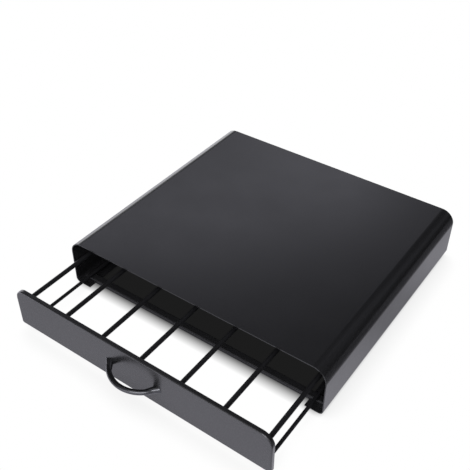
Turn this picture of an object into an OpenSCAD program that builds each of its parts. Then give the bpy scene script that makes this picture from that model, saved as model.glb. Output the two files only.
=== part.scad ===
// Pod drawer: a low steel housing that carries a machine on its roof, with a sliding wire tray inside.
// Pods hang by their rims between the tray's rails. All sizes are in millimetres, +Z is up.
// The housing and its tray are drawn from the middle of the housing's front edge, on its underside,
// with the tray shut. The last step moves everything so that the origin lies under the middle.

/* [Lanes] */
// Distance between neighbouring rails, centre to centre
lane_pitch = 55.8; // [51:0.1:64]
// Pods in each lane, from front to back
row_count = 6; // [4:1:7]
// Length that one pod takes up in its lane
row_pitch = 53; // [48:0.1:60]
// Room under the rails' tops for the hanging pods
pod_drop = 39.2; // [34:0.2:48]
// Room from the rails' tops up to the roof
lid_room = 20.9; // [16:0.1:32]

/* [Housing] */
// Thickness of the housing's steel sheet
sheet_t = 1.2; // [0.8:0.1:2]
// Outer radius of the bends between the roof and the walls
top_bend_r = 18; // [10:0.5:24]
// Outer radius of the bends between the walls and the bottom flanges
low_bend_r = 6; // [4:0.5:8]
// Width of the bottom flanges, from the outer face of the wall
flange_w = 23; // [21:0.5:45]
// Distance from the outer rails' centres to the outer faces of the walls
side_room = 15.1; // [12:0.1:24]
// Depth of the back panel's rim
back_rim = 8; // [5:0.5:14]
// Thickness of the back panel's sheet
back_t = 1; // [0.8:0.1:1.5]

/* [Sills] */
// Depth of each cross sill, from front to back
sill_depth = 10; // [8:0.5:16]
// Height of each cross sill above the flanges
sill_h = 5; // [4:0.5:9]
// Thickness of the sills' sheet
sill_t = 1; // [0.8:0.1:1.5]
// Outer radius of the sills' bends
sill_bend_r = 2; // [1.6:0.1:3]
// How far the front sill lies behind the housing's front edge
sill_inset = 9.5; // [0:0.5:14]

/* [Feet] */
// Diameter of the rubber feet
foot_d = 14; // [8:0.5:14]
// Height of the rubber feet
foot_h = 2; // [1:0.5:6]
// Distance of the feet from the front and rear edges
foot_inset = 30; // [15:1:60]

/* [Drawer front] */
// Thickness of the drawer front's sheet
panel_t = 1; // [0.8:0.1:1.5]
// Depth of the drawer front, face to rim
panel_depth = 5.2; // [4:0.1:12]
// Outer radius of the bend between the face and the rim
panel_bend_r = 1.6; // [1.5:0.1:2.2]
// Radius of the drawer front's upper corners
panel_top_r = 14; // [6:0.5:24]
// Radius of the drawer front's lower corners
panel_low_r = 3; // [2.4:0.1:10]
// How far the housing shows beside the drawer front on each side
panel_reveal = 4.3; // [0:0.1:8]
// How far the drawer front's top lies below the top of the roof
panel_drop = 7.1; // [0:0.1:14]
// How far the drawer stands open
rest_open = 89.3; // [0:0.1:160]

/* [Handle] */
// Distance between the handle's two screws
screw_pitch = 64; // [48:1:128]
// Distance from the drawer front's face to the middle of the bar
handle_reach = 19.8; // [17:0.1:28]
// Diameter of the handle's bar
bar_d = 6.2; // [5:0.1:8]
// Diameter of the handle's flared ends at the drawer front
flare_d = 8.8; // [8:0.1:12]
// Length of the handle's flared ends
flare_len = 14; // [10:0.5:14]
// Height of the handle above the drawer front's lower edge
handle_rise = 25.4; // [16:0.1:36]
// Diameter of the handle's screws
screw_d = 3; // [2.5:0.5:3.5]
// Depth to which the screws reach into the handle
screw_grip = 4; // [3:0.5:5]
// How far the screws sit inwards from the middles of the bar's ends
screw_inset = 1.5; // [1:0.1:2]

/* [Wires] */
// Diameter of the rails that the pods hang from
rail_d = 5.6; // [4:0.1:7]
// Diameter of the runners that slide on the sills
runner_d = 4.4; // [3:0.1:6]
// Diameter of the wires at the rear of the tray
wire_d = 4; // [3:0.1:6]
// How far the rails reach past the wires at the rear
rail_tail = 2; // [1:0.5:6]

/* [Clearances] */
// Gap between the shut drawer front and the housing
shut_gap = 0.3; // [0.2:0.1:1]
// Gap between the runners and the sills
run_gap = 0.3; // [0.2:0.1:1]
// Gap between the rails and the back panel with the drawer shut
rear_gap = 2; // [1:0.5:20]
// Gap around sheets that are set into the housing
fit_gap = 0.1; // [0.05:0.05:0.3]
// Gap around each screw in the sheet
hole_gap = 0.25; // [0.1:0.05:0.5]
// Gap around each screw in the handle
thread_gap = 0.05; // [0.02:0.01:0.1]

/* [Hidden] */
lane_count = 6;
$fn = 96;
black_coat = [0.13, 0.13, 0.14];
front_coat = [0.30, 0.30, 0.32];
wire_coat = [0.10, 0.10, 0.11];
handle_coat = [0.07, 0.07, 0.08];
rubber = [0.05, 0.05, 0.05];
zinc = [0.62, 0.63, 0.65];

// Levels, from the housing's underside up
sill_top = sheet_t + sill_h;
runner_z = sill_top + run_gap + runner_d / 2;
panel_low = sill_top + run_gap - panel_t;
rail_top = sill_top + pod_drop;
rail_z = rail_top - rail_d / 2;
housing_h = rail_top + lid_room + sheet_t;
panel_h = housing_h - panel_drop - panel_low;
handle_z = panel_low + handle_rise;
lower_wire_z = runner_z + (runner_d + wire_d) / 2;
stop_wire_z = rail_top + wire_d / 2;

// Widths
outer_rail_x = lane_count * lane_pitch / 2;
housing_w = 2 * (outer_rail_x + side_room);
panel_w = housing_w - 2 * panel_reveal;
sill_w = housing_w - 2 * (low_bend_r + fit_gap);
back_w = housing_w - 2 * (sheet_t + fit_gap);
foot_x = (housing_w - flange_w - low_bend_r) / 2;
post_x = outer_rail_x - (rail_d + wire_d) / 2;

// Depths with the drawer shut, from the housing's front edge back
face_y = -shut_gap - panel_depth;
tray_y = face_y + panel_t;
rear_wire_y = tray_y + row_count * row_pitch + wire_d / 2;
rail_end_y = rear_wire_y + wire_d / 2 + rail_tail;
housing_d = rail_end_y + rear_gap + back_rim;

// The handle's arc meets the drawer front at half its span and runs on behind it, to be cut off there.
// Its flares lean along the arc, and their narrow ends finish inside the bar.
arc_half = screw_pitch / 2 + screw_inset;
arc_r = (arc_half * arc_half + handle_reach * handle_reach) / (2 * handle_reach);
arc_back = arc_r - handle_reach;
arc_angle = acos(arc_back / arc_r);
flare_angle = acos((arc_back + flare_len * sin(arc_angle)) / arc_r);
flare_lean = 90 - (arc_angle + flare_angle) / 2;
arc_over = atan(bar_d / arc_r);
neck_d = 0.8 * bar_d;

// Screw heads, in the usual proportions of a pan head
head_d = 1.85 * screw_d;
head_h = 0.6 * screw_d;
slot_w = 0.25 * screw_d;
slot_len = 1.1 * screw_d;
slot_depth = 0.5 * head_h;

// The whole part lies around its middle, from the handle to the back, with the feet's soles at zero
front_reach = rest_open - face_y + handle_reach + bar_d / 2;
middle_y = (housing_d - front_reach) / 2;

// Moves a piece of the housing to its place in the part
module placed() {
    translate([0, -middle_y, foot_h]) children();
}

// Moves a piece of the shut drawer to where the drawer stands open
module drawn() {
    placed() translate([0, -rest_open, 0]) children();
}

// Extrudes an outline in x and z from y = start backwards
module along_y(start, length) {
    translate([0, start + length, 0]) rotate([90, 0, 0]) linear_extrude(length) children();
}

// Extrudes an outline in y and z over a width that is centred on x = 0
module along_x(width) {
    rotate([90, 0, 90]) translate([0, 0, -width / 2]) linear_extrude(width) children();
}

// Quarter of a disc, in the quadrant of positive x and y
module quarter_disc(r) {
    intersection() {
        circle(r);
        square(r);
    }
}

// Quarter of a ring, as a bend of sheet shows at its end
module quarter_ring(r, t) {
    difference() {
        quarter_disc(r);
        circle(r - t);
    }
}

// Outline with its lower edge on y = 0, one radius at its upper corners and another at its lower ones
module arch_outline(w, h, r_top, r_low) {
    translate([-w / 2, r_low]) square([w, h - r_low - r_top]);
    translate([-w / 2 + r_low, 0]) square([w - 2 * r_low, r_low]);
    translate([-w / 2 + r_top, h - r_top]) square([w - 2 * r_top, r_top]);
    for (side = [0, 1]) mirror([side, 0]) {
        translate([w / 2 - r_top, h - r_top]) quarter_disc(r_top);
        translate([w / 2 - r_low, r_low]) mirror([0, 1]) quarter_disc(r_low);
    }
}

// Section of the bent edge of a tray of sheet, with a lap that reaches into the face.
// x is the distance from the middle of the corner, whose radius is r
module rim_section(r, t, bend_r, depth) {
    lap = t / 2;
    translate([r - bend_r, bend_r]) mirror([0, 1]) quarter_ring(bend_r, t);
    translate([r - t, bend_r]) square([t, depth - bend_r]);
    translate([r - bend_r - lap, 0]) square([lap, t]);
}

// Shallow tray of bent sheet, with its face on y = 0, its lower edge on z = 0 and its rim towards +y
module sheet_tray(w, h, r_top, r_low, t, bend_r, depth) {
    top_x = w / 2 - r_top;
    low_x = w / 2 - r_low;
    side_h = h - r_low - r_top;
    translate([0, 0, bend_r]) along_y(0, t)
        arch_outline(w - 2 * bend_r, h - 2 * bend_r, r_top - bend_r, r_low - bend_r);
    translate([0, 0, r_low]) {
        translate([-low_x, 0, 0]) rotate([0, 90, 0])
            linear_extrude(2 * low_x) rim_section(r_low, t, bend_r, depth);
        translate([top_x, 0, side_h]) rotate([0, -90, 0])
            linear_extrude(2 * top_x) rim_section(r_top, t, bend_r, depth);
        for (side = [0, 1]) mirror([side, 0, 0]) {
            translate([low_x, 0, 0]) linear_extrude(side_h) rim_section(r_low, t, bend_r, depth);
            translate([low_x, 0, 0]) rim_corner(r_low, t, bend_r, depth);
            translate([top_x, 0, side_h]) mirror([0, 0, 1]) rim_corner(r_top, t, bend_r, depth);
        }
    }
}

// Bent edge round the lower right corner of a sheet tray
module rim_corner(r, t, bend_r, depth) {
    rotate([-90, 0, 0]) rotate_extrude(angle = 90) rim_section(r, t, bend_r, depth);
}

// Half of the housing's section: roof, wall and flange with their two bends
module shell_half_section() {
    wall_x = housing_w / 2;
    translate([0, housing_h - sheet_t]) square([wall_x - top_bend_r, sheet_t]);
    translate([wall_x - top_bend_r, housing_h - top_bend_r]) quarter_ring(top_bend_r, sheet_t);
    translate([wall_x - sheet_t, low_bend_r]) square([sheet_t, housing_h - top_bend_r - low_bend_r]);
    translate([wall_x - low_bend_r, low_bend_r]) mirror([0, 1]) quarter_ring(low_bend_r, sheet_t);
    translate([wall_x - flange_w, 0]) square([flange_w - low_bend_r, sheet_t]);
}

// Housing bent from one sheet, open at the front and the back and underneath
module housing_shell() {
    color(black_coat) placed() along_y(0, housing_d) {
        shell_half_section();
        mirror([1, 0]) shell_half_section();
    }
}

// Back of the housing, set in between the walls and standing on the rear sill
module back_panel() {
    color(black_coat) placed() translate([0, housing_d, sill_top]) mirror([0, 1, 0])
        sheet_tray(back_w, housing_h - sheet_t - fit_gap - sill_top, top_bend_r - sheet_t - fit_gap,
            panel_low_r, back_t, panel_bend_r, back_rim);
}

// Half of a sill's section: top, bend and leg
module sill_half_section() {
    square([sill_depth / 2 - sill_bend_r, sill_t]);
    translate([sill_depth / 2 - sill_bend_r, sill_t - sill_bend_r]) quarter_ring(sill_bend_r, sill_t);
    translate([sill_depth / 2 - sill_t, sill_t - sill_h]) square([sill_t, sill_h - sill_bend_r]);
}

// Inverted channel that ties the two flanges together and carries the runners
module sill(middle) {
    color(black_coat) placed() translate([0, middle, sill_top - sill_t]) along_x(sill_w) {
        sill_half_section();
        mirror([1, 0]) sill_half_section();
    }
}

// Round rubber foot under a flange
module foot(side, y) {
    color(rubber) placed() translate([side * foot_x, y, -foot_h]) cylinder(d = foot_d, h = foot_h);
}

// Drawer front with its bent rim and the holes for the handle's screws
module front_panel() {
    hole_d = screw_d + 2 * hole_gap;
    color(front_coat) drawn() translate([0, face_y, 0]) difference() {
        translate([0, 0, panel_low])
            sheet_tray(panel_w, panel_h, panel_top_r, panel_low_r, panel_t, panel_bend_r, panel_depth);
        at_screws() translate([0, 0, -2 * panel_t]) cylinder(d = hole_d, h = 3 * panel_t);
    }
}

// Places children at the two handle screws on the face, with +z pointing out of the drawer
module at_screws() {
    for (side = [-1, 1]) translate([side * screw_pitch / 2, 0, handle_z]) rotate([90, 0, 0]) children();
}

// Bow handle: a round bar on an arc, with flared ends cut off flat against the drawer front
module handle() {
    span = 2 * arc_half + 2 * flare_d;
    bore_d = screw_d + 2 * thread_gap;
    color(handle_coat) drawn() translate([0, face_y, 0]) difference() {
        union() {
            translate([0, arc_back, handle_z]) rotate([0, 0, -90 - arc_angle - arc_over])
                rotate_extrude(angle = 2 * (arc_angle + arc_over)) translate([arc_r, 0]) circle(d = bar_d);
            for (side = [0, 1]) mirror([side, 0, 0]) translate([arc_half, 0, handle_z]) flare();
        }
        translate([-span / 2, 0, handle_z - flare_d]) cube([span, 2 * flare_d, 2 * flare_d]);
        at_screws() translate([0, 0, -screw_grip]) cylinder(d = bore_d, h = 2 * screw_grip);
    }
}

// One flared end, leaning inwards along the arc, from just behind the face
module flare() {
    root = flare_d / 2;
    slope = (flare_d - neck_d) / flare_len;
    rotate([0, 0, -flare_lean]) rotate([90, 0, 0]) translate([0, 0, -root])
        cylinder(d1 = flare_d + root * slope, d2 = neck_d, h = flare_len + root);
}

// The two screws that hold the handle, heads behind the sheet
module handle_screws() {
    color(zinc) drawn() translate([0, face_y, 0]) at_screws() difference() {
        union() {
            translate([0, 0, -panel_t]) cylinder(d = screw_d, h = panel_t + screw_grip);
            translate([0, 0, -panel_t - head_h]) cylinder(d = head_d, h = head_h);
        }
        for (turn = [0, 90]) rotate([0, 0, turn]) translate([-slot_len / 2, -slot_w / 2, -panel_t - head_h])
            cube([slot_len, slot_w, slot_depth]);
    }
}

// Round wire along y
module wire_along_y(d, x, z, from, to) {
    color(wire_coat) drawn() translate([x, to, z]) rotate([90, 0, 0]) cylinder(d = d, h = to - from);
}

// Round wire along x, centred
module wire_along_x(d, length, y, z) {
    color(wire_coat) drawn() translate([-length / 2, y, z]) rotate([0, 90, 0]) cylinder(d = d, h = length);
}

// Rail between two lanes, counted from the left
module rail(number) {
    wire_along_y(rail_d, (number - 1) * lane_pitch - outer_rail_x, rail_z, tray_y, rail_end_y);
}

// Runner under an outer rail, lying on the drawer front's lower rim
module runner(side) {
    wire_along_y(runner_d, side * outer_rail_x, runner_z, tray_y, rail_end_y);
}

// Wire that lies across the two runners at the rear
module rear_lower_wire() {
    wire_along_x(wire_d, 2 * outer_rail_x + runner_d, rear_wire_y, lower_wire_z);
}

// Wire across the tops of all the rails, which keeps the pods from sliding off
module rear_stop_wire() {
    wire_along_x(wire_d, 2 * outer_rail_x + rail_d, rear_wire_y, stop_wire_z);
}

// Post between the two rear wires, against an outer rail
module rear_post(side) {
    low = lower_wire_z + wire_d / 2;
    color(wire_coat) drawn() translate([side * post_x, rear_wire_y, low])
        cylinder(d = wire_d, h = rail_top - low);
}

housing_shell();
back_panel();
sill(sill_inset + sill_depth / 2);  // front_sill
sill(housing_d - sill_depth / 2);  // rear_sill
foot(-1, foot_inset);  // foot_front_left
foot(1, foot_inset);  // foot_front_right
foot(-1, housing_d - foot_inset);  // foot_rear_left
foot(1, housing_d - foot_inset);  // foot_rear_right
front_panel();
handle();
handle_screws();
rail(1);  // rail_1
rail(2);  // rail_2
rail(3);  // rail_3
rail(4);  // rail_4
rail(5);  // rail_5
rail(6);  // rail_6
rail(7);  // rail_7
runner(-1);  // runner_left
runner(1);  // runner_right
rear_lower_wire();
rear_stop_wire();
rear_post(-1);  // rear_post_left
rear_post(1);  // rear_post_right
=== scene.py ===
"""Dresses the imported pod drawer: coated sheet, coated wire, a glossy bow handle, rubber feet and screws."""
import math

import bpy
from mathutils import Matrix, Vector


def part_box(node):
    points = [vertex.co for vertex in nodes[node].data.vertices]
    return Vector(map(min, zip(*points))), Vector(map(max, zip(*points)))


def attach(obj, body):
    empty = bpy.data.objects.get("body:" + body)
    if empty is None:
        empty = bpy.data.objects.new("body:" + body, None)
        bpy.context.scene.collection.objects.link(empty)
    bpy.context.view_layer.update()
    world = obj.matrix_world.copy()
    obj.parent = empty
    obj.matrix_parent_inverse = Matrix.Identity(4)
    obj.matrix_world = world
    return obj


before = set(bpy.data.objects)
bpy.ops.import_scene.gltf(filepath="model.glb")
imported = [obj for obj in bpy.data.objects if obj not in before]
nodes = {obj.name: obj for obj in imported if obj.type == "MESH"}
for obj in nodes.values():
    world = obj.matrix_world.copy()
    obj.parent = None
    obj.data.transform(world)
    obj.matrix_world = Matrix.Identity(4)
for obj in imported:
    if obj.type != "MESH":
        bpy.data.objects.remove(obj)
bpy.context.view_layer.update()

# Everything is in metres. The camera stands where the photograph's straight edges put it, measured from the
# middle of the housing's lower front edge
EYE = Vector((0.3902, -0.4586, 0.6509))
TARGET = Vector((-0.06763, 0.18953, 0.00486))
ROLL = 0.0061
FOCAL_PX = 742.62
IMAGE_PX = 470
SENSOR = 36.0

# Powder coat: size of its orange peel, its grain and the slow drift of its gloss; height of the first two
PEEL_SIZE = 0.0016
GRAIN_SIZE = 0.0004
DRIFT_SIZE = 0.06
PEEL_HEIGHT = 0.00003
GRAIN_HEIGHT = 0.00001
COAT_RELIEF = 0.4
COAT_TINT = (0.93, 0.93, 1.0)
# Blacks of the coats, from the darkest to the lightest grain
SHEET_BLACK = ((0.008, 0.008, 0.009), (0.013, 0.013, 0.014))
WIRE_BLACK = ((0.006, 0.006, 0.007), (0.010, 0.010, 0.011))
# Cut edges: radius the coat gives them, and their turn where the painted highlight is full and where it ends
EDGE_ROUND = 0.0004
EDGE_SAMPLES = 6
EDGE_TURN = (0.75, 0.97)

# Handle enamel: waves in its surface and specks in its black
WAVE_SIZE = 0.004
WAVE_HEIGHT = 0.00002
WAVE_RELIEF = 0.2
SPECK_SIZE = 0.0006
ENAMEL_BLACK = ((0.003, 0.003, 0.0035), (0.006, 0.006, 0.0065))
ENAMEL_ROUGH = (0.17, 0.23)
ENAMEL_SHINE = 0.9
ENAMEL_TINT = (0.9, 0.91, 1.0)

# Noise mostly stays between these values
NOISE_LOW, NOISE_HIGH = 0.3, 0.7

# Weld beads round the wires: thickness, ripples and their depth, and how finely a bead is drawn
BEAD = 0.0006
RIPPLES = 9
RIPPLE_DEPTH = 0.2
RING_STEPS = 36
BEAD_STEPS = 8
# Weld nuggets: lumps, their twist and depth, steps round, and reach along x, y and z as a share of the wire
LUMPS = 3
LUMP_TWIST = 2
LUMP_DEPTH = 0.1
NUGGET_STEPS = 14
CROSS_NUGGET = (0.5, 0.5, 0.2)
POST_NUGGET = (0.56, 0.48, 0.2)

# Plain floor
FLOOR_REACH = 6.0
FLOOR_CLOUD = 0.3
FLOOR_GREY = ((0.86, 0.86, 0.86), (0.88, 0.88, 0.88))
FLOOR_ROUGH = 0.9
# The object shades the floor lightly close by, and reflections see that shade from farther off. Low is the
# white that is left, and the shade goes from there to none as the floor opens from start to end
SHADE_SAMPLES = 24
TOUCH_SHADE = {"reach": 0.05, "low": 0.8, "start": 0.35, "end": 0.8}
MIRROR_SHADE = {"reach": 0.3, "low": 0.5, "start": 0.2, "end": 0.6}
# Painted shade: under the roof the floor keeps this share of its white; it darkens from before to behind the
# mouth's edge
COVERED = 0.012
MOUTH_SHADE = (-0.005, 0.015)
WALL_SHADE = 0.01
# In reflections the floor dims from near to far on the right and before the object, and brightens on the left
NEAR_RIGHT = (0.02, 0.04)
FAR_RIGHT = 0.25
NEAR_LEFT = (0.05, 0.25)
FAR_LEFT = 3.0
NEAR_FRONT = (0.3, 0.6)
# How bright it is there from front to back, measured from the housing's front edge, the share of that on the
# left, and its tint
FLOOR_GLOW = ((-0.22, 2.0), (-0.165, 1.06), (-0.12, 1.06), (-0.03, 0.9), (0.02, 0.75), (0.1, 0.63),
              (0.16, 0.47), (0.22, 0.47), (0.3, 0.62))
LEFT_SHARE = 0.76
MIRROR_TINT = (0.93, 0.92, 1.0)

# Light behind, from left to right: it ends below the zenith, leans as it rises, and fades low down
BEHIND_GLOW = ((-0.65, 0.25), (-0.39, 0.92), (-0.29, 0.33), (-0.18, 0.125), (-0.05, 0.012), (0.22, 0.03),
               (0.43, 0.14), (0.62, 0.03))
BEHIND_TINT = 1.08
BEHIND_LEAN = ((math.radians(38), -0.04), (math.radians(60), 0.4))
BEHIND_END = (math.radians(52), math.radians(56))
BEHIND_LOW = (0.2, 0.5)
LOW_SHARE = 0.1
# A bright strip stands low on the far left behind, which the left bend mirrors
STRIP_LEFT = (-0.7, -0.6)
STRIP_LOW = (0.2, 0.4)
STRIP_GLOW = (2.2, 2.2, 2.2)
# Light in front, from left to right, and where it takes over from the light behind
FRONT_GLOW = ((-0.6, 0.1), (-0.1, 0.7))
FRONT_TURN = (0.25, 0.0)
BLACK = (0.0, 0.0, 0.0)
WHITE = (1.0, 1.0, 1.0)

# Where the lamps aim
MIDDLE = (0, 0, 0.03)
DRAWER_FRONT = (0, -0.2, 0.03)

RAILS = [f"rail_{i}" for i in range(1, 8)]
RUNNERS = ["runner_left", "runner_right"]
POSTS = ["rear_post_left", "rear_post_right"]
WIRES = RAILS + RUNNERS + POSTS + ["rear_lower_wire", "rear_stop_wire"]
FEET = ["foot_front_left", "foot_front_right", "foot_rear_left", "foot_rear_right"]
HOUSING = ["housing_shell", "back_panel", "front_sill", "rear_sill"]


def new_material(name):
    """An empty node material: its tree, its shader and a point in the object's own space."""
    material = bpy.data.materials.new(name)
    material.use_nodes = True
    tree = material.node_tree
    shader = tree.nodes["Principled BSDF"]
    place = tree.nodes.new("ShaderNodeTexCoord").outputs["Object"]
    return material, tree, shader, place


def noise(tree, place, size, detail):
    """Noise whose features are about size metres across."""
    node = tree.nodes.new("ShaderNodeTexNoise")
    node.inputs["Scale"].default_value = 1 / size
    node.inputs["Detail"].default_value = detail
    tree.links.new(place, node.inputs["Vector"])
    return node.outputs["Fac"]


def spread(tree, value, low, high, start=NOISE_LOW, end=NOISE_HIGH):
    """Maps a value from start..end to low..high."""
    node = tree.nodes.new("ShaderNodeMapRange")
    node.inputs["From Min"].default_value = start
    node.inputs["From Max"].default_value = end
    node.inputs["To Min"].default_value = low
    node.inputs["To Max"].default_value = high
    tree.links.new(value, node.inputs["Value"])
    return node.outputs["Result"]


def ramp(tree, value, low, high):
    """Runs between two colours as a noise goes from low to high."""
    node = tree.nodes.new("ShaderNodeValToRGB")
    first, last = node.color_ramp.elements
    first.position, first.color = NOISE_LOW, (*low, 1)
    last.position, last.color = NOISE_HIGH, (*high, 1)
    tree.links.new(value, node.inputs["Fac"])
    return node.outputs["Color"]


def steps(tree, value, places, tint=1.0):
    """Runs through a list of (value, grey), with the blue of each grey tinted."""
    start, end = places[0][0], places[-1][0]
    node = tree.nodes.new("ShaderNodeValToRGB")
    stops = node.color_ramp.elements
    for place, grey in places:
        share = (place - start) / (end - start)
        if place == start:
            stop = stops[0]
        elif place == end:
            stop = stops[-1]
        else:
            stop = stops.new(share)
        stop.position = share
        stop.color = (grey, grey, tint * grey, 1)
    tree.links.new(spread(tree, value, 0, 1, start, end), node.inputs["Fac"])
    return node.outputs["Color"]


def bump(tree, height, distance, strength, under=None):
    """A bump of that height in metres, on top of another one."""
    node = tree.nodes.new("ShaderNodeBump")
    node.inputs["Distance"].default_value = distance
    node.inputs["Strength"].default_value = strength
    tree.links.new(height, node.inputs["Height"])
    if under is not None:
        tree.links.new(under, node.inputs["Normal"])
    return node.outputs["Normal"]


def worked_out(tree, operation, *values):
    """A math operation on one or two values."""
    node = tree.nodes.new("ShaderNodeMath")
    node.operation = operation
    for value, socket in zip(values, node.inputs):
        tree.links.new(value, socket)
    return node.outputs["Value"]


def product(tree, first, *others):
    """Values multiplied."""
    for other in others:
        first = worked_out(tree, "MULTIPLY", first, other)
    return first


def mixed(tree, share, below, above):
    """Mixes two colours, each one plain or worked out by nodes."""
    node = tree.nodes.new("ShaderNodeMix")
    node.data_type = "RGBA"
    tree.links.new(share, node.inputs["Factor"])
    for socket, colour in ((node.inputs["A"], below), (node.inputs["B"], above)):
        if isinstance(colour, tuple):
            socket.default_value = (*colour, 1)
        else:
            tree.links.new(colour, socket)
    return node.outputs["Result"]


def blended(tree, share, below, above):
    """Mixes two shaders."""
    node = tree.nodes.new("ShaderNodeMixShader")
    tree.links.new(share, node.inputs["Fac"])
    tree.links.new(below, node.inputs[1])
    tree.links.new(above, node.inputs[2])
    return node.outputs["Shader"]


def powder_coat(name, blacks, rough, shine, painted_edge_grey):
    """Satin powder coat: a fine orange peel, a finer grain, slow changes in gloss and a painted highlight on
    cut edges.
    """
    material, tree, shader, place = new_material(name)
    peel = noise(tree, place, PEEL_SIZE, detail=3.0)
    grain = noise(tree, place, GRAIN_SIZE, detail=2.0)
    drift = noise(tree, place, DRIFT_SIZE, detail=4.0)
    tree.links.new(spread(tree, drift, *rough), shader.inputs["Roughness"])
    edge = tree.nodes.new("ShaderNodeBevel")
    edge.samples = EDGE_SAMPLES
    edge.inputs["Radius"].default_value = EDGE_ROUND
    turned = tree.nodes.new("ShaderNodeVectorMath")
    turned.operation = "DOT_PRODUCT"
    tree.links.new(edge.outputs["Normal"], turned.inputs[0])
    tree.links.new(tree.nodes.new("ShaderNodeNewGeometry").outputs["Normal"], turned.inputs[1])
    # Painted edge highlight: the base colour turns grey where the bevelled normal leans away from the face's
    # own
    lit_edge_share = spread(tree, turned.outputs["Value"], 1, 0, *EDGE_TURN)
    colour = mixed(tree, lit_edge_share, ramp(tree, grain, *blacks), (painted_edge_grey, painted_edge_grey, painted_edge_grey))
    tree.links.new(colour, shader.inputs["Base Color"])
    peeled = bump(tree, peel, PEEL_HEIGHT, COAT_RELIEF, edge.outputs["Normal"])
    tree.links.new(bump(tree, grain, GRAIN_HEIGHT, COAT_RELIEF, peeled), shader.inputs["Normal"])
    shader.inputs["Specular IOR Level"].default_value = shine
    shader.inputs["Specular Tint"].default_value = (*COAT_TINT, 1)
    return material


def gloss_enamel():
    """Deep black gloss of the handle, with a slight waviness."""
    material, tree, shader, place = new_material("handle_enamel")
    wave = noise(tree, place, WAVE_SIZE, detail=1.0)
    speck = noise(tree, place, SPECK_SIZE, detail=2.0)
    tree.links.new(ramp(tree, speck, *ENAMEL_BLACK), shader.inputs["Base Color"])
    tree.links.new(spread(tree, wave, *ENAMEL_ROUGH), shader.inputs["Roughness"])
    tree.links.new(bump(tree, wave, WAVE_HEIGHT, WAVE_RELIEF), shader.inputs["Normal"])
    shader.inputs["Specular IOR Level"].default_value = ENAMEL_SHINE
    shader.inputs["Specular Tint"].default_value = (*ENAMEL_TINT, 1)
    return material


def grained(name, size, colours, rough, height, relief, metallic=0.0):
    """A material whose colour, gloss and relief all follow one grain."""
    material, tree, shader, place = new_material(name)
    grain = noise(tree, place, size, detail=4.0)
    tree.links.new(ramp(tree, grain, *colours), shader.inputs["Base Color"])
    tree.links.new(spread(tree, grain, *rough), shader.inputs["Roughness"])
    tree.links.new(bump(tree, grain, height, relief), shader.inputs["Normal"])
    shader.inputs["Metallic"].default_value = metallic
    return material


def dress(names, material):
    """Gives CAD nodes one material."""
    for name in names:
        nodes[name].data.materials.clear()
        nodes[name].data.materials.append(material)


def bead_ring(verts, faces, centre, radius):
    """Adds a rippled weld bead round a wire that runs along y."""
    start = len(verts)
    for i in range(RING_STEPS):
        a = 2 * math.pi * i / RING_STEPS
        thick = BEAD * (1 + RIPPLE_DEPTH * math.sin(RIPPLES * a))
        for j in range(BEAD_STEPS):
            b = 2 * math.pi * j / BEAD_STEPS
            out = radius + thick * math.cos(b)
            verts.append(centre + Vector((out * math.cos(a), thick * math.sin(b), out * math.sin(a))))
    for i in range(RING_STEPS):
        this, after = start + i * BEAD_STEPS, start + (i + 1) % RING_STEPS * BEAD_STEPS
        for j in range(BEAD_STEPS):
            k = (j + 1) % BEAD_STEPS
            faces.append((this + k, after + k, after + j, this + j))


def nugget(verts, faces, centre, thick, shares):
    """Adds a slightly lumpy weld nugget between two crossing wires, sized by the thickness of one of them."""
    start = len(verts)
    rows = NUGGET_STEPS // 2
    reach = [share * thick for share in shares]
    for i in range(1, rows):
        up = math.pi * i / rows
        for j in range(NUGGET_STEPS):
            a = 2 * math.pi * j / NUGGET_STEPS
            lump = 1 + LUMP_DEPTH * math.sin(LUMPS * a + LUMP_TWIST * up)
            spot = Vector((math.sin(up) * math.cos(a), math.sin(up) * math.sin(a), math.cos(up))) * lump
            verts.append(centre + Vector(p * q for p, q in zip(spot, reach)))
    for i in range(rows - 2):
        low, high = start + (i + 1) * NUGGET_STEPS, start + i * NUGGET_STEPS
        for j in range(NUGGET_STEPS):
            k = (j + 1) % NUGGET_STEPS
            faces.append((high + j, low + j, low + k, high + k))
    last = start + (rows - 2) * NUGGET_STEPS
    faces.append(tuple(start + j for j in range(NUGGET_STEPS)))
    faces.append(tuple(last + j for j in reversed(range(NUGGET_STEPS))))


def weld_piece(name, verts, faces, material):
    """One piece of welds that goes with the drawer."""
    mesh = bpy.data.meshes.new(name)
    mesh.from_pydata(verts, [], faces)
    mesh.polygons.foreach_set("use_smooth", [True] * len(mesh.polygons))
    mesh.materials.append(material)
    piece = bpy.data.objects.new(name, mesh)
    bpy.context.scene.collection.objects.link(piece)
    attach(piece, "drawer")


def make_welds(material):
    """Beads where rails and runners meet the drawer front, and nuggets where the rear wires cross them."""
    verts, faces = [], []
    for name in RAILS + RUNNERS:
        low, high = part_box(name)
        mid = (low + high) / 2
        bead_ring(verts, faces, Vector((mid.x, low.y + BEAD / 2, mid.z)), (high.x - low.x) / 2)
    weld_piece("front_welds", verts, faces, material)

    verts, faces = [], []
    for wire, across in (("rear_stop_wire", RAILS), ("rear_lower_wire", RUNNERS)):
        low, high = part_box(wire)
        for name in across:
            start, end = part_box(name)
            spot = Vector(((start.x + end.x) / 2, (low.y + high.y) / 2, low.z))
            nugget(verts, faces, spot, high.z - low.z, CROSS_NUGGET)
    for name in POSTS:
        low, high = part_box(name)
        mid = (low + high) / 2
        for z in (low.z, high.z):
            nugget(verts, faces, Vector((mid.x, mid.y, z)), high.x - low.x, POST_NUGGET)
    weld_piece("rear_welds", verts, faces, material)


def shade(tree, reach, low, start, end):
    """How open the floor is, from low where the object is close to 1 where nothing is within reach."""
    node = tree.nodes.new("ShaderNodeAmbientOcclusion")
    node.samples = SHADE_SAMPLES
    node.inputs["Distance"].default_value = reach
    return spread(tree, node.outputs["AO"], low, 1, start, end)


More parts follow.
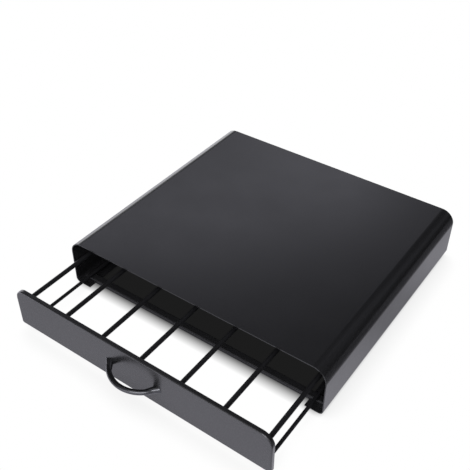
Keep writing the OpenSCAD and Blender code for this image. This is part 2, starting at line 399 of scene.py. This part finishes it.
def painted_roof_shade(tree, x, y):
    """Painted shade under the roof: how much of its white the floor keeps, nearly none under the roof and all
    of it outside.
    """
    low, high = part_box("housing_shell")
    side = worked_out(tree, "ABSOLUTE", x)
    between = spread(tree, side, 1, 0, high.x - WALL_SHADE, high.x)
    behind = spread(tree, y, 0, 1, low.y + MOUTH_SHADE[0], low.y + MOUTH_SHADE[1])
    before = spread(tree, y, 1, 0, high.y - WALL_SHADE, high.y)
    return spread(tree, product(tree, between, behind, before), 1, COVERED, 0, 1)


def mirrored_floor(tree, x, y):
    """How bright the floor looks in reflections: bright in front and far to the left, dim on the right."""
    low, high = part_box("housing_shell")
    wall, edge = high.x, low.y
    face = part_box("front_panel")[0].y
    right = spread(tree, x, 1, FAR_RIGHT, wall + NEAR_RIGHT[0], wall + NEAR_RIGHT[1])
    left = spread(tree, x, 1, FAR_LEFT, -wall - NEAR_LEFT[0], -wall - NEAR_LEFT[1])
    before = spread(tree, y, 1, 0, face - NEAR_FRONT[0], face - NEAR_FRONT[1])
    along = steps(tree, y, [(edge + place, grey) for place, grey in FLOOR_GLOW])
    across = spread(tree, x, LEFT_SHARE, 1, -wall, wall)
    return product(tree, right, left, before, along, across)


def white_floor():
    """Floor that is white to the camera and dark under the roof by painted shade; in reflections its place
    sets its glow.
    """
    material, tree, shader, place = new_material("white_floor")
    cloud = noise(tree, place, FLOOR_CLOUD, detail=3.0)
    tree.links.new(ramp(tree, cloud, *FLOOR_GREY), shader.inputs["Base Color"])
    shader.inputs["Roughness"].default_value = FLOOR_ROUGH
    split = tree.nodes.new("ShaderNodeSeparateXYZ")
    tree.links.new(place, split.inputs["Vector"])
    x, y = split.outputs["X"], split.outputs["Y"]
    # Painted shade under the roof, for the camera and in reflections alike
    under_roof_shade = painted_roof_shade(tree, x, y)
    plain = tree.nodes.new("ShaderNodeEmission")
    tree.links.new(product(tree, shade(tree, **TOUCH_SHADE), under_roof_shade), plain.inputs["Strength"])
    mirrored = tree.nodes.new("ShaderNodeEmission")
    mirrored.inputs["Color"].default_value = (*MIRROR_TINT, 1)
    glow = product(tree, mirrored_floor(tree, x, y), shade(tree, **MIRROR_SHADE), under_roof_shade)
    tree.links.new(glow, mirrored.inputs["Strength"])
    path = tree.nodes.new("ShaderNodeLightPath").outputs
    direct = worked_out(tree, "MAXIMUM", path["Is Camera Ray"], path["Is Transmission Ray"])
    seen = blended(tree, direct, shader.outputs["BSDF"], plain.outputs["Emission"])
    whole = blended(tree, path["Is Glossy Ray"], seen, mirrored.outputs["Emission"])
    tree.links.new(whole, tree.nodes["Material Output"].inputs["Surface"])
    return material


def make_floor():
    """A wide plain floor that the feet stand on."""
    reach = FLOOR_REACH
    mesh = bpy.data.meshes.new("floor")
    corners = [(-reach, -reach, 0), (reach, -reach, 0), (reach, reach, 0), (-reach, reach, 0)]
    mesh.from_pydata(corners, [], [(0, 1, 2, 3)])
    floor = bpy.data.objects.new("floor", mesh)
    bpy.context.scene.collection.objects.link(floor)
    floor.data.materials.append(white_floor())


def make_world():
    """Surroundings that show white to the camera; reflections see light behind on the left and in front."""
    world = bpy.data.worlds.new("studio")
    bpy.context.scene.world = world
    world.use_nodes = True
    tree = world.node_tree
    split = tree.nodes.new("ShaderNodeSeparateXYZ")
    tree.links.new(tree.nodes.new("ShaderNodeTexCoord").outputs["Generated"], split.inputs["Vector"])
    x, y, z = split.outputs
    height = worked_out(tree, "ARCTAN2", z, y)
    (lean_start, lean_low), (lean_end, lean_high) = BEHIND_LEAN
    lean = spread(tree, height, lean_low, lean_high, lean_start, lean_end)
    behind = steps(tree, worked_out(tree, "ADD", x, lean), BEHIND_GLOW, BEHIND_TINT)
    below_end = spread(tree, height, 1, 0, *BEHIND_END)
    above_low = spread(tree, z, LOW_SHARE, 1, *BEHIND_LOW)
    behind = mixed(tree, product(tree, below_end, above_low), BLACK, behind)
    strip = product(tree, spread(tree, x, 1, 0, *STRIP_LEFT), spread(tree, z, 1, 0, *STRIP_LOW))
    behind = mixed(tree, strip, behind, STRIP_GLOW)
    around = mixed(tree, spread(tree, y, 0, 1, *FRONT_TURN), behind, steps(tree, x, FRONT_GLOW))
    mirrored = tree.nodes["Background"]
    tree.links.new(around, mirrored.inputs["Color"])
    plain = tree.nodes.new("ShaderNodeBackground")
    plain.inputs["Color"].default_value = (*WHITE, 1)
    direct = tree.nodes.new("ShaderNodeLightPath").outputs["Is Camera Ray"]
    whole = blended(tree, direct, mirrored.outputs["Background"], plain.outputs["Background"])
    tree.links.new(whole, tree.nodes["World Output"].inputs["Surface"])


def keep_off(lamp, names):
    """Keeps a lamp from showing on some CAD nodes."""
    group = bpy.data.collections.new(lamp.name + "_kept_off")
    lamp.light_linking.receiver_collection = group
    for name in names:
        group.objects.link(nodes[name])
    for member in group.collection_objects:
        member.light_linking.link_state = "EXCLUDE"


def area_light(name, place, aim, size, watts, mirrored=False):
    """A soft rectangular lamp; a mirrored one is a card that only reflections show, and not the housing's."""
    data = bpy.data.lights.new(name, "AREA")
    data.shape = "RECTANGLE"
    data.size, data.size_y = size
    data.energy = watts
    lamp = bpy.data.objects.new(name, data)
    lamp.location = place
    lamp.rotation_mode = "QUATERNION"
    lamp.rotation_quaternion = (Vector(aim) - Vector(place)).to_track_quat("-Z", "Y")
    lamp.visible_glossy = mirrored
    lamp.visible_diffuse = not mirrored
    bpy.context.scene.collection.objects.link(lamp)
    if mirrored:
        keep_off(lamp, HOUSING)


def make_lamps():
    """Three soft lamps and two cards; the lamp beside the camera stands behind its card."""
    area_light("key", place=(-0.9, -1.3, 1.5), aim=MIDDLE, size=(1.4, 1.0), watts=8)
    area_light("top", place=(0.2, -0.9, 1.7), aim=MIDDLE, size=(1.6, 1.0), watts=15)
    area_light("camera_side", place=(0.55, -1.5, 1.2), aim=DRAWER_FRONT, size=(1.1, 0.7), watts=16)
    area_light("front_card", place=(0.1, -1.5, 0.25), aim=MIDDLE, size=(1.6, 0.5), watts=5, mirrored=True)
    area_light("camera_card", place=(0.5, -1.4, 1.1), aim=DRAWER_FRONT, size=(1.1, 0.7), watts=14,
               mirrored=True)


def make_camera():
    """The photograph's camera, placed from the housing's lower front edge."""
    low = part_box("housing_shell")[0]
    edge = Vector((0, low.y, low.z))
    data = bpy.data.cameras.new("camera")
    data.sensor_width = SENSOR
    data.lens = FOCAL_PX / IMAGE_PX * SENSOR
    back = (EYE - TARGET).normalized()
    right = Vector((0, 0, 1)).cross(back).normalized()
    right.rotate(Matrix.Rotation(ROLL, 3, back))
    up = back.cross(right)
    turn = Matrix((right, up, back)).transposed()
    camera = bpy.data.objects.new("camera", data)
    camera.matrix_world = Matrix.Translation(edge + EYE) @ turn.to_4x4()
    bpy.context.scene.collection.objects.link(camera)
    bpy.context.scene.camera = camera


# The last grey of each coat is the colour of the painted highlight on its cut edges
housing_coat = powder_coat("housing_coat", SHEET_BLACK, rough=(0.16, 0.21), shine=0.7, painted_edge_grey=0.014)
front_coat = powder_coat("front_coat", SHEET_BLACK, rough=(0.20, 0.26), shine=0.7, painted_edge_grey=0.02)
wire_coat = powder_coat("wire_coat", WIRE_BLACK, rough=(0.40, 0.50), shine=0.2, painted_edge_grey=0.02)
# Matt moulded rubber with a dusty grain, and bright zinc with a cloudy bloom
foot_rubber = grained("foot_rubber", size=0.0008, colours=((0.012, 0.012, 0.012), (0.03, 0.03, 0.029)),
                      rough=(0.75, 0.92), height=0.00006, relief=0.6)
zinc_plate = grained("zinc_plate", size=0.0015, colours=((0.48, 0.49, 0.52), (0.66, 0.67, 0.68)),
                     rough=(0.22, 0.38), height=0.00002, relief=0.5, metallic=1.0)
dress(HOUSING, housing_coat)
dress(["front_panel"], front_coat)
dress(WIRES, wire_coat)
dress(["handle"], gloss_enamel())
dress(FEET, foot_rubber)
dress(["handle_screws"], zinc_plate)

make_welds(wire_coat)
make_floor()
make_world()
make_lamps()
make_camera()
bpy.context.scene.view_settings.view_transform = "Standard"
